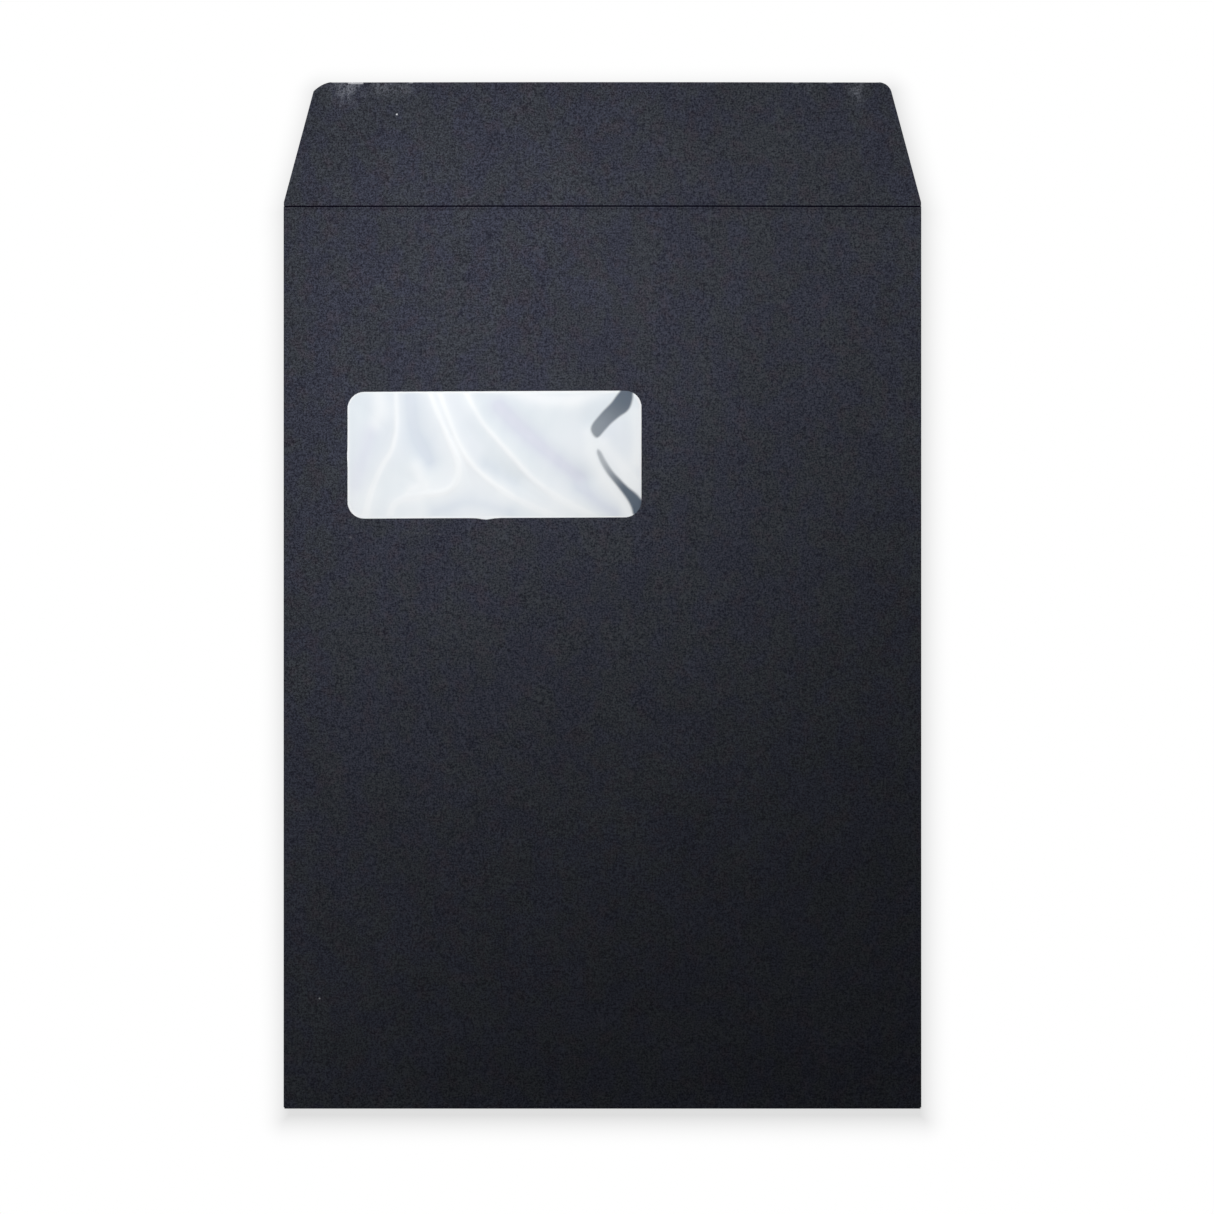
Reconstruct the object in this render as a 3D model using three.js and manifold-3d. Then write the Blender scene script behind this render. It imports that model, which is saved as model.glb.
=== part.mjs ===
// A C4 pocket envelope of black paper, lying on its back with its seal flap open and its window up.
// It is folded from one die-cut blank: the address side, two side panels that overlap in a centre
// seam on the back, a bottom flap glued over them, and the seal flap. A clear film patch is glued
// behind the window. The seal flap carries a strip of adhesive under a peel-off release paper.
// Millimetres. X runs across the envelope, Y up it towards the seal flap, Z out of the address side.
import * as THREE from "three";
import { mergeVertices } from "three/addons/utils/BufferGeometryUtils.js";
import Module from "manifold-3d";

// Driving dimensions of the pocket and its flaps
const pocketWidth = 229;
const pocketHeight = 324;
const flapDepth = 44.5;
const flapShoulder = 1.5;
const flapTaperDeg = 15;
const flapCornerRadius = 4;
const wornCornerWidth = 6.2;
const wornCornerHeight = 3.2;
const wornCornerRounding = 0.52;
const bottomFlapDepth = 25;
const bottomFlapTaperDeg = 20;
const seamOverlap = 20;
const throatDrop = 4;
const throatShoulder = 12;

// The paper, and how it is folded, scored and glued
const paper = 0.16;
const glueLine = 0.04;
const glueBite = 0.01;
const glueMargin = 3;
const foldClearance = 0.08;
const cornerRelief = 0.8;
const joggleLength = 3.5;
const joggleClearance = 0.5;
const scoreWidth = 0.7;
const scoreDepth = 0.06;

// How the empty pocket gapes as it lies: flat on its back, the address side arched over it
const mouthRise = 8;
const riseLength = 240;
const flapDroop = 1.2;

// The window, and the film glued behind it
const windowWidth = 105.5;
const windowHeight = 45.5;
const windowFromLeft = 23;
const windowFromCrease = 66.4;
const windowCornerRadius = 6;
const film = 0.05;
const filmMargin = 5.4;
const filmSag = 0.7;
const ridgeRise = 0.6;
const ridgeHalfWidth = 4;
const tautBand = 7;

// The seal: adhesive on the flap's inner face, and the release paper over it
const adhesive = 0.08;
const adhesiveWidth = 12;
const adhesiveFromEdge = 10;
const adhesiveEndInset = 7;
const liner = 0.07;
const linerOverhang = 1.5;
const seatGap = 0.06;

// Fineness of the facets
const panelStep = 10;
const rowStep = 16;
const filmStep = 3.4;
const stripStep = 8;
const joggleSteps = 4;
const foldSteps = 4;
const cornerSteps = 5;

const wasm = await Module();
wasm.setup();

const rad = THREE.MathUtils.degToRad;
const { clamp, lerp, smoothstep } = THREE.MathUtils;

// Side fold: its mid-surface turns a half circle that just clears the seam's second layer
const layerPitch = paper + glueLine;
const foldRadius = (layerPitch + foldClearance + paper) / 2;
const foldX = pocketWidth / 2 - foldRadius - paper / 2;
const foldLength = Math.PI * foldRadius;
const seamHalf = seamOverlap / 2;

// Bottom fold: it also takes in the bottom flap's own thickness
const bottomRadius = foldRadius + layerPitch / 2;
const bottomStart = bottomRadius + paper / 2;
const bottomLength = Math.PI * bottomRadius;
const flapRun = bottomFlapDepth - bottomStart;
const blankBottom = bottomStart - bottomLength - flapRun;
const sideStart = bottomStart + cornerRelief;

const flapTop = pocketHeight + flapDepth;
const windowLeft = windowFromLeft - pocketWidth / 2;
const windowRight = windowLeft + windowWidth;
const windowTop = pocketHeight - windowFromCrease;
const windowBottom = windowTop - windowHeight;

// Values from one break to the next, with no step longer than the one given
function steps(breaks, step) {
  const values = [breaks[0]];
  for (let k = 1; k < breaks.length; k += 1) {
    const [from, to] = [breaks[k - 1], breaks[k]];
    const count = Math.max(1, Math.ceil((to - from) / step - 1e-6));
    for (let n = 1; n <= count; n += 1) values.push(lerp(from, to, n / count));
  }
  return values;
}

// Height of the back panels over the table: they cross the bottom flap and then lie on the table
const liftFrom = bottomFlapDepth + 2;
const liftTo = liftFrom + 2 * joggleLength;

function backLift(v) {
  return layerPitch * (1 - smoothstep(v, liftFrom, liftTo));
}

// How far the middle of the address side stands over its side folds
function archRise(v) {
  const open = clamp((v - bottomStart) / riseLength, 0, 1);
  return mouthRise * (1 - (1 - open) ** 2);
}

function edgeTilt(v) {
  return Math.atan((2 * archRise(v)) / foldX);
}

function frontHalf(v) {
  return foldX + foldRadius * Math.sin(edgeTilt(v));
}

// The address side, and the seal flap that carries on from it past the crease
function archPoint(x, v, offset) {
  const half = frontHalf(v);
  const rise = archRise(v);
  const edge = backLift(v) + paper / 2 + foldRadius * (1 + Math.cos(edgeTilt(v)));
  const droop = flapDroop * clamp((v - pocketHeight) / flapDepth, 0, 1);
  const normal = new THREE.Vector3((2 * rise * x) / half ** 2, 0, 1).normalize();
  const middle = new THREE.Vector3(x, v, edge + rise * (1 - (x / half) ** 2) - droop);
  return middle.addScaledVector(normal, offset);
}

// Half width of the seal flap before its corners. It springs from between the side folds, is as
// wide as the pocket over its short shoulder, and then tapers
function taperedHalf(v) {
  const above = v - pocketHeight;
  const sprung = clamp(above / (scoreWidth / 2), 0, 1);
  const shoulderHalf = lerp(frontHalf(pocketHeight), pocketWidth / 2 - paper / 2, sprung);
  return shoulderHalf - Math.max(0, above - flapShoulder) * Math.tan(rad(flapTaperDeg));
}

function flapRight(v) {
  const taper = rad(flapTaperDeg);
  const above = v - (flapTop - flapCornerRadius);
  if (above <= flapCornerRadius * Math.sin(taper)) return taperedHalf(v);
  const centre = taperedHalf(flapTop - flapCornerRadius) - flapCornerRadius / Math.cos(taper);
  return centre + Math.sqrt(Math.max(0, flapCornerRadius ** 2 - above ** 2));
}

// The left corner is worn off: a short slant that rounds over into the top edge
function flapLeft(v) {
  const wornFrom = flapTop - wornCornerHeight;
  if (v <= wornFrom) return -taperedHalf(v);
  const up = Math.min((v - wornFrom) / wornCornerHeight, 1);
  const across = lerp(up, 1 - Math.sqrt(1 - up * up), wornCornerRounding);
  return wornCornerWidth * across - taperedHalf(wornFrom);
}

// Bottom fold and bottom flap, turned back under the pocket
function bottomPoint(u, v, offset) {
  const turn = Math.min((bottomStart - v) / bottomRadius, Math.PI);
  const run = Math.max(0, bottomStart - bottomLength - v);
  const x = u * (1 - (run * Math.tan(rad(bottomFlapTaperDeg))) / foldX);
  const radius = bottomRadius + offset;
  const y = bottomStart - radius * Math.sin(turn) + run;
  return new THREE.Vector3(x, y, paper / 2 + bottomRadius + radius * Math.cos(turn));
}

// Side fold and back panel; the left panel steps up to lie on the right one along the seam
function sidePoint(u, v, offset) {
  const side = Math.sign(u);
  const along = Math.abs(u) - foldX;
  const lift = backLift(v);
  if (along <= foldLength) {
    const turn = lerp(edgeTilt(v), Math.PI, along / foldLength);
    const radius = foldRadius + offset;
    const x = side * (foldX + radius * Math.sin(turn));
    return new THREE.Vector3(x, v, lift + paper / 2 + foldRadius + radius * Math.cos(turn));
  }
  const inward = along - foldLength;
  const shoulder = clamp(inward / throatShoulder, 0, 1);
  const drop = (throatDrop * shoulder * (v - sideStart)) / (pocketHeight - sideStart);
  const fromMiddle = foldX - inward;
  const stepUp = seamHalf + joggleClearance;
  const raised = side < 0 ? 1 - smoothstep(fromMiddle, stepUp, stepUp + joggleLength) : 0;
  const height = lift + raised * layerPitch + paper / 2 - offset;
  return new THREE.Vector3(side * fromMiddle, v - drop, height);
}

// Where a point of the flat blank goes on the folded envelope
function foldedPoint(u, v, face) {
  const score = scoreDepth * Math.max(0, 1 - Math.abs(v - pocketHeight) / (scoreWidth / 2));
  const offset = face > 0 ? paper / 2 - score : -paper / 2;
  if (v < bottomStart) return bottomPoint(u, v, offset);
  if (v > pocketHeight) {
    return archPoint(lerp(flapLeft(v), flapRight(v), (u + foldX) / (2 * foldX)), v, offset);
  }
  if (Math.abs(u) > foldX) return sidePoint(u, v, offset);
  return archPoint((u * frontHalf(v)) / foldX, v, offset);
}

// Rectangles between neighbouring columns and rows, wherever keep allows them
function cells(columns, rows, keep = () => true) {
  const found = [];
  for (let i = 1; i < columns.length; i += 1) {
    for (let j = 1; j < rows.length; j += 1) {
      const [a, b, c, d] = [columns[i - 1], columns[i], rows[j - 1], rows[j]];
      if (keep((a + b) / 2, (c + d) / 2)) found.push([[a, c], [b, c], [b, d], [a, d]]);
    }
  }
  return found;
}

// The paper left in one corner of the window's rectangle, outside the corner's arc
function windowCorner(cornerU, cornerV, towardU, towardV) {
  const r = windowCornerRadius;
  const arc = steps([0, Math.PI / 2], Math.PI / 2 / cornerSteps).map((angle) => [
    cornerU + towardU * r * (1 - Math.sin(angle)),
    cornerV + towardV * r * (1 - Math.cos(angle)),
  ]);
  const polygon = [[cornerU, cornerV], ...arc];
  return towardU * towardV > 0 ? polygon : [polygon[0], ...arc.reverse()];
}

// Thickens faces drawn on a flat sheet into one closed solid: both faces, and walls at free edges
function sheetGeometry(faces, place) {
  const key = ([u, v]) => `${u.toFixed(6)},${v.toFixed(6)}`;
  const positions = [];
  const edges = new Map();
  const addTriangle = (...corners) => corners.forEach((corner) => positions.push(...corner));
  for (const face of faces) {
    const [outer, inner] = [1, -1].map((sign) => face.map(([u, v]) => place(u, v, sign)));
    for (let k = 2; k < face.length; k += 1) {
      addTriangle(outer[0], outer[k - 1], outer[k]);
      addTriangle(inner[0], inner[k], inner[k - 1]);
    }
    face.forEach((start, k) => {
      const end = face[(k + 1) % face.length];
      if (!edges.delete(`${key(end)}>${key(start)}`)) edges.set(`${key(start)}>${key(end)}`, [start, end]);
    });
  }
  for (const [[u0, v0], [u1, v1]] of edges.values()) {
    const [a, b] = [place(u0, v0, 1), place(u1, v1, 1)];
    const [c, d] = [place(u0, v0, -1), place(u1, v1, -1)];
    addTriangle(a, c, d);
    addTriangle(a, d, b);
  }
  const geometry = new THREE.BufferGeometry();
  geometry.setAttribute("position", new THREE.Float32BufferAttribute(positions, 3));
  return mergeVertices(geometry, 1e-4);
}

function toManifold(geometry) {
  const vertProperties = new Float32Array(geometry.attributes.position.array);
  const triVerts = new Uint32Array(geometry.index.array);
  return new wasm.Manifold(new wasm.Mesh({ numProp: 3, vertProperties, triVerts }));
}

function toGeometry(solid) {
  const mesh = solid.getMesh();
  const geometry = new THREE.BufferGeometry();
  geometry.setAttribute("position", new THREE.Float32BufferAttribute(mesh.vertProperties, 3));
  geometry.setIndex(Array.from(mesh.triVerts));
  geometry.computeVertexNormals();
  return geometry;
}

function boxManifold(x0, x1, y0, y1, z0, z1) {
  const box = new THREE.BoxGeometry(x1 - x0, y1 - y0, z1 - z0);
  box.translate((x0 + x1) / 2, (y0 + y1) / 2, (z0 + z1) / 2);
  box.deleteAttribute("normal");
  box.deleteAttribute("uv");
  return toManifold(mergeVertices(box));
}

// Glue under the seam, and between the bottom flap and the back panels
function glueSlabs() {
  const [low, high] = [paper - glueBite, layerPitch + glueBite];
  const seamTop = pocketHeight - throatDrop - glueMargin;
  const across = foldX - bottomFlapDepth * Math.tan(rad(bottomFlapTaperDeg)) - glueMargin;
  return [
    boxManifold(glueMargin - seamHalf, seamHalf - glueMargin, liftTo, seamTop, low, high),
    boxManifold(-across, across, glueMargin, bottomFlapDepth - glueMargin, low, high),
  ];
}

// The whole folded sheet of paper with its window cut out
function envelopeSheet() {
  const r = windowCornerRadius;
  const windowColumns = [windowLeft, windowLeft + r, windowRight - r, windowRight];
  const frontColumns = steps([-foldX, ...windowColumns, foldX], panelStep);
  const foldColumns = steps([foldX, foldX + foldLength], foldLength / foldSteps).slice(1);
  const backEnd = foldX + foldLength;
  const stepUp = foldX - seamHalf - joggleClearance;
  const joggle = steps([stepUp - joggleLength, stepUp], joggleLength / joggleSteps);
  const rightBack = [throatShoulder, foldX + seamHalf].map((inward) => backEnd + inward);
  const leftBack = [throatShoulder, ...joggle, foldX + seamHalf].map((inward) => backEnd + inward);
  const leftColumns = [...foldColumns, ...leftBack].map((u) => -u).reverse();
  const columns = [...leftColumns, ...frontColumns, ...foldColumns, ...rightBack];

  const liftRows = steps([liftFrom, liftTo], (liftTo - liftFrom) / joggleSteps);
  const windowRows = [windowBottom, windowBottom + r, windowTop - r, windowTop];
  const scoreBelow = pocketHeight - scoreWidth / 2;
  const bodyRows = steps([sideStart, ...liftRows, ...windowRows, scoreBelow, pocketHeight], rowStep);

  const foldRows = steps([bottomStart - bottomLength, bottomStart], bottomLength / (2 * foldSteps));
  const bottomRows = [blankBottom, ...foldRows, sideStart];

  const roundRows = steps([rad(flapTaperDeg), Math.PI / 2], Math.PI / 2 / cornerSteps).map(
    (angle) => flapTop - flapCornerRadius * (1 - Math.sin(angle)),
  );
  const wornFrom = flapTop - wornCornerHeight;
  const cornerRows = [...roundRows, wornFrom].sort((a, b) => a - b);
  const [scoreAbove, shoulderEnd] = [pocketHeight + scoreWidth / 2, pocketHeight + flapShoulder];
  const flapRows = steps([pocketHeight, scoreAbove, shoulderEnd, ...cornerRows], rowStep);

  const outsideWindow = (u, v) =>
    u < windowLeft || u > windowRight || v < windowBottom || v > windowTop;
  const faces = [
    ...cells(frontColumns, bottomRows),
    ...cells(columns, bodyRows, outsideWindow),
    ...cells(frontColumns, flapRows),
    windowCorner(windowLeft, windowBottom, 1, 1),
    windowCorner(windowRight, windowBottom, -1, 1),
    windowCorner(windowLeft, windowTop, 1, -1),
    windowCorner(windowRight, windowTop, -1, -1),
  ];
  return glueSlabs().reduce(
    (solid, slab) => solid.add(slab),
    toManifold(sheetGeometry(faces, foldedPoint)),
  );
}

// How far a point lies from the line between two points
function distanceToSegment(x, v, [[x0, v0], [x1, v1]]) {
  const line = new THREE.Line3(new THREE.Vector3(x0, v0, 0), new THREE.Vector3(x1, v1, 0));
  const point = new THREE.Vector3(x, v, 0);
  return line.closestPointToPoint(point, true, new THREE.Vector3()).distanceTo(point);
}

// The film's main ridges, as fractions of the window: across from its left, and down from its top
const ridges = [
  [[0.17, 0.02], [0.17, 0.3], [0.07, 1]],
  [[0.29, 0.02], [0.37, 0.6], [0.14, 0.98]],
  [[0.32, 0.02], [0.46, 0.65], [0.7, 0.98]],
  [[0.41, 0.02], [0.57, 0.5], [0.81, 0.98]],
  [[0.8, 0.3], [0.83, 0.45], [0.97, 0.97]],
];

// Film height under the paper: taut and glued at its border, slack and wrinkled in the window
function filmDip(x, v) {
  const inside = Math.min(x - windowLeft, windowRight - x, v - windowBottom, windowTop - v);
  const slack = smoothstep(inside, 0, tautBand);
  const spot = ([across, down]) => [windowLeft + across * windowWidth, windowTop - down * windowHeight];
  let nearest = Infinity;
  for (const ridge of ridges) {
    for (let k = 1; k < ridge.length; k += 1) {
      const segment = [spot(ridge[k - 1]), spot(ridge[k])];
      nearest = Math.min(nearest, distanceToSegment(x, v, segment));
    }
  }
  const crest = 1 - smoothstep(nearest, 0, ridgeHalfWidth);
  return slack * (filmSag - ridgeRise * crest);
}

function windowFilm() {
  const columns = steps(
    [windowLeft - filmMargin, windowLeft, windowRight, windowRight + filmMargin],
    filmStep,
  );
  const rows = steps(
    [windowBottom - filmMargin, windowBottom, windowTop, windowTop + filmMargin],
    filmStep,
  );
  const place = (x, v, face) => {
    const depth = paper / 2 + seatGap + (face > 0 ? 0 : film);
    const point = archPoint(x, v, -depth);
    point.z -= filmDip(x, v);
    return point;
  };
  return sheetGeometry(cells(columns, rows), place);
}

// A band across the flap's inner face, as deep under the paper and as thick as stated
function flapBand(width, depth, thickness) {
  const middle = flapTop - adhesiveFromEdge - adhesiveWidth / 2;
  const rows = [middle - width / 2, middle, middle + width / 2];
  const place = (along, v, face) => {
    const left = flapLeft(v) + adhesiveEndInset;
    const right = flapRight(v) - adhesiveEndInset;
    const offset = -paper / 2 - depth - (face > 0 ? 0 : thickness);
    return archPoint(lerp(left, right, along), v, offset);
  };
  return sheetGeometry(cells(steps([0, 1], stripStep / pocketWidth), rows), place);
}

function named(name, geometry, color, roughness) {
  const material = new THREE.MeshStandardMaterial({ color, roughness, metalness: 0 });
  const mesh = new THREE.Mesh(geometry, material);
  mesh.name = name;
  return mesh;
}

const linerWidth = adhesiveWidth + 2 * linerOverhang;
const linerDepth = 2 * seatGap + adhesive;

const envelope = new THREE.Group();
envelope.add(
  named("envelope_sheet", toGeometry(envelopeSheet()), 0x2b2b33, 0.85),
  named("window_film", windowFilm(), 0xe6ecf2, 0.2),
  named("adhesive_strip", flapBand(adhesiveWidth, seatGap, adhesive), 0xb9b2a0, 0.45),
  named("release_liner", flapBand(linerWidth, linerDepth, liner), 0xe9e7e0, 0.5),
);

// The origin lies under the middle of the opened envelope, on the table
envelope.children.forEach((mesh) => mesh.geometry.translate(0, -flapTop / 2, 0));

export default envelope;
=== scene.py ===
"""Looks of a black pocket envelope with a film window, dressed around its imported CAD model."""

import logging
import math
from collections.abc import Callable, Mapping
from dataclasses import dataclass
from enum import Enum

import bmesh
import bpy
import numpy as np
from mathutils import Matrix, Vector


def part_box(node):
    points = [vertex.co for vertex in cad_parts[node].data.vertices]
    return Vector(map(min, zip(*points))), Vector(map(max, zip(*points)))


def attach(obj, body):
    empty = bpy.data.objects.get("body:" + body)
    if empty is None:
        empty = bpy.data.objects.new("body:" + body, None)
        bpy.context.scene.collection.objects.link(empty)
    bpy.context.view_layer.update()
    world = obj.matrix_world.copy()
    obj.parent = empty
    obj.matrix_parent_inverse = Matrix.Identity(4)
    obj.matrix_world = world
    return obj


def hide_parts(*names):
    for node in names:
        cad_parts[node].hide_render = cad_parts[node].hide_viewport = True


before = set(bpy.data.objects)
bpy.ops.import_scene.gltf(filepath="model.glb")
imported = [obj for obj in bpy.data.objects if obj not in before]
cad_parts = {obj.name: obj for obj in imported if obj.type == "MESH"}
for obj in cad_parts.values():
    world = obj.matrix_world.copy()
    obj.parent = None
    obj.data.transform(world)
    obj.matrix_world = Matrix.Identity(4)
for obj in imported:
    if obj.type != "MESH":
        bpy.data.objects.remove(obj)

LOG = logging.getLogger("envelope")
MM = 0.001
Array = np.ndarray
Point = tuple[float, float]
Triple = tuple[float, float, float]
Quad = tuple[float, float, float, float]
Curve = tuple[Point, ...]
Piece = bpy.types.Object
Socket = bpy.types.NodeSocket


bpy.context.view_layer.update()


def smoothstep(value: Array, low: float, high: float) -> Array:
    """Grade numbers smoothly, from 0 at low to 1 at high."""
    share = np.clip((value - low) / (high - low), 0.0, 1.0)
    return share * share * (3.0 - 2.0 * share)


def smooth_path(points: Curve, closed: bool = False, per_span: int = 8) -> Array:
    """Run a smooth curve through a few points.

    Args:
        points: The points that the curve passes.
        closed: Whether it comes back to the first of them.
        per_span: Steps between neighbouring points.

    Returns:
        Points along the curve, one to a row.
    """
    ends = [points[-1], *points, points[0], points[1]] if closed else [points[0], *points, points[-1]]
    knots = np.array(ends, float)
    path = [knots[1]]
    for index in range(1, len(knots) - 2):
        before, start, end, after = knots[index - 1: index + 3]
        for step in range(1, per_span + 1):
            t = step / per_span
            path.append(0.5 * (
                2 * start
                + (end - before) * t
                + (2 * before - 5 * start + 4 * end - after) * t ** 2
                + (3 * start - before - 3 * end + after) * t ** 3
            ))
    return np.array(path)


def distance_to_path(x: Array, y: Array, path: Array) -> Array:
    """Distance from each point to a chain of straight pieces.

    Args:
        x: First coordinates.
        y: Second coordinates.
        path: The chain's points, one to a row.

    Returns:
        The least distance of each point.
    """
    nearest = np.full(x.shape, np.inf)
    for (x0, y0), (x1, y1) in zip(path[:-1], path[1:]):
        dx, dy = x1 - x0, y1 - y0
        share = np.clip(((x - x0) * dx + (y - y0) * dy) / (dx * dx + dy * dy), 0.0, 1.0)
        nearest = np.minimum(nearest, np.hypot(x - x0 - share * dx, y - y0 - share * dy))
    return nearest


def inside_outline(x: Array, y: Array, outline: Array) -> Array:
    """Tell which points lie inside a closed outline.

    Args:
        x: First coordinates.
        y: Second coordinates.
        outline: The outline's points, one to a row.

    Returns:
        True where a point is inside.
    """
    inside = np.zeros(x.shape, bool)
    for (x0, y0), (x1, y1) in zip(outline, np.roll(outline, -1, axis=0)):
        crosses = (y0 > y) != (y1 > y)
        rise = y1 - y0 if y1 != y0 else 1.0
        inside ^= crosses & (x < x0 + (y - y0) / rise * (x1 - x0))
    return inside


def bell(distance: Array, width: float) -> Array:
    """A round bump that is 1 at distance 0 and fades over the width."""
    return np.exp(-((distance / width) ** 2))


def bells(distance: Array, parts: tuple[Point, ...]) -> Array:
    """Sum of round bumps, each given by its height and width."""
    return sum(height * bell(distance, width) for height, width in parts)


def away_from_curves(x: Array, y: Array, curves: tuple[Curve, ...]) -> list[Array]:
    """Distance from each point to each smooth curve, given by the points that it passes."""
    return [distance_to_path(x, y, smooth_path(curve)) for curve in curves]


@dataclass(frozen=True)
class FoldPlan:
    """Sizes of the pocket, and where each point of its flat blank lies once folded.

    Blank coordinates are u across from the middle and v up from the pocket's bottom edge.
    """

    width: float
    opened_length: float
    pocket_height: float = 324.0 * MM
    flap_shoulder: float = 1.5 * MM
    flap_taper: float = math.radians(15)
    flap_corner: float = 4.6 * MM
    worn_across: float = 6.2 * MM
    worn_up: float = 3.2 * MM
    worn_rounding: float = 0.52
    score_width: float = 0.7 * MM
    score_depth: float = 0.06 * MM
    bottom_flap: float = 25.0 * MM
    bottom_taper: float = math.radians(20)
    seam_overlap: float = 20.0 * MM
    throat_drop: float = 4.0 * MM
    throat_shoulder: float = 12.0 * MM
    paper: float = 0.16 * MM
    glue_line: float = 0.04 * MM
    fold_clearance: float = 0.08 * MM
    corner_relief: float = 0.1 * MM
    joggle: float = 3.5 * MM
    joggle_clearance: float = 0.5 * MM
    mouth_rise: float = 8.0 * MM
    rise_length: float = 240.0 * MM
    flap_droop: float = 1.2 * MM
    snap: float = 0.001 * MM
    left_crease: Curve = (
        (7.2, 4.5), (34.6, 10.2), (46.0, 16.0), (56.0, 26.0), (62.0, 40.5), (69.0, 50.5),
    )
    right_crease: Curve = ((33.0, 14.5), (23.0, 23.0), (14.4, 26.0), (2.9, 31.8))
    left_crease_height: float = 0.16 * MM
    left_crease_width: float = 6.0 * MM
    right_crease_height: float = 0.30 * MM
    right_crease_width: float = 7.0 * MM
    wave_height: float = 0.09 * MM
    dent_middle: Point = (13.7 * MM, 70.6 * MM)
    dent_depth: float = 0.12 * MM
    dent_width: float = 9.0 * MM

    @property
    def pitch(self) -> float:
        """Height from one glued layer to the next."""
        return self.paper + self.glue_line

    @property
    def fold_radius(self) -> float:
        """Radius of a side fold at the middle of the paper."""
        return (self.pitch + self.fold_clearance + self.paper) / 2

    @property
    def fold_x(self) -> float:
        """Where the address side ends and its side folds begin."""
        return self.width / 2 - self.fold_radius - self.paper / 2

    @property
    def fold_length(self) -> float:
        """Paper used by a side fold."""
        return math.pi * self.fold_radius

    @property
    def bottom_radius(self) -> float:
        """Radius of the bottom fold at the middle of the paper."""
        return self.fold_radius + self.pitch / 2

    @property
    def bottom_start(self) -> float:
        """Where the bottom fold begins, up from the bottom edge."""
        return self.bottom_radius + self.paper / 2

    @property
    def bottom_length(self) -> float:
        """Paper used by the bottom fold."""
        return math.pi * self.bottom_radius

    @property
    def blank_bottom(self) -> float:
        """Lower end of the blank, where the bottom flap ends."""
        return self.bottom_start - self.bottom_length - (self.bottom_flap - self.bottom_start)

    @property
    def side_start(self) -> float:
        """Where the side panels begin, above the corner's relief cut."""
        return self.bottom_start + self.corner_relief

    @property
    def blank_half(self) -> float:
        """Half the width of the blank, to the edge of a side panel."""
        return 2 * self.fold_x + self.fold_length + self.seam_overlap / 2

    @property
    def lift_rows(self) -> tuple[float, float]:
        """Where the back panels come down from the bottom flap onto the table."""
        start = self.bottom_flap + 2 * MM
        return start, start + 2 * self.joggle

    def back_lift(self, v: Array) -> Array:
        """Height of the back panels over the table."""
        return self.pitch * (1 - smoothstep(v, *self.lift_rows))

    def arch_rise(self, v: Array) -> Array:
        """Height of the middle of the address side over its side folds."""
        gape = np.clip((v - self.bottom_start) / self.rise_length, 0.0, 1.0)
        return self.mouth_rise * (1 - (1 - gape) ** 2)

    def edge_tilt(self, v: Array) -> Array:
        """Slope angle of the address side where it meets a side fold."""
        return np.arctan(2 * self.arch_rise(v) / self.fold_x)

    def front_half(self, v: Array) -> Array:
        """Half width of the address side between its folds."""
        return self.fold_x + self.fold_radius * np.sin(self.edge_tilt(v))

    def arch_height(self, x: Array, v: Array) -> Array:
        """Height of the paper's middle on the address side and the seal flap.

        Args:
            x: Places across.
            v: Heights up the envelope.

        Returns:
            Its Z at each place.
        """
        edge = self.back_lift(v) + self.paper / 2 + self.fold_radius * (1 + np.cos(self.edge_tilt(v)))
        flap_depth = self.opened_length - self.pocket_height
        droop = self.flap_droop * np.clip((v - self.pocket_height) / flap_depth, 0.0, 1.0)
        return edge + self.arch_rise(v) * (1 - (x / self.front_half(v)) ** 2) - droop

    def tapered_half(self, v: Array) -> Array:
        """Half width of the seal flap, before its corners.

        Args:
            v: Heights up the envelope.

        Returns:
            The half width at each height.
        """
        above = v - self.pocket_height
        start = self.front_half(np.array(self.pocket_height))
        sprung = np.clip(above / (self.score_width / 2), 0.0, 1.0)
        shoulder = start + (self.width / 2 - self.paper / 2 - start) * sprung
        return shoulder - np.maximum(above - self.flap_shoulder, 0.0) * math.tan(self.flap_taper)

    def flap_right(self, v: Array) -> Array:
        """Right edge of the seal flap, with its round corner.

        Args:
            v: Heights up the envelope.

        Returns:
            The edge's X at each height.
        """
        centre_v = self.opened_length - self.flap_corner
        centre = self.tapered_half(np.array(centre_v)) - self.flap_corner / math.cos(self.flap_taper)
        above = np.clip(v - centre_v, 0.0, self.flap_corner)
        arc = centre + np.sqrt(np.maximum(self.flap_corner ** 2 - above ** 2, 0.0))
        in_arc = v - centre_v > self.flap_corner * math.sin(self.flap_taper)
        return np.where(in_arc, arc, self.tapered_half(v))

    def flap_left(self, v: Array) -> Array:
        """Left edge of the seal flap, with its worn corner.

        Args:
            v: Heights up the envelope.

        Returns:
            The edge's X at each height.
        """
        worn_from = self.opened_length - self.worn_up
        share = np.clip((v - worn_from) / self.worn_up, 0.0, 1.0)
        rounded = 1 - np.sqrt(1 - share * share)
        across = share + (rounded - share) * self.worn_rounding
        worn = self.worn_across * across - self.tapered_half(np.array(worn_from))
        return np.where(v <= worn_from, -self.tapered_half(v), worn)

    def to_frame(self, v: Array | float) -> Array | float:
        """Turn a height up the opened envelope into the frame's Y."""
        return v - self.opened_length / 2

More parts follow.
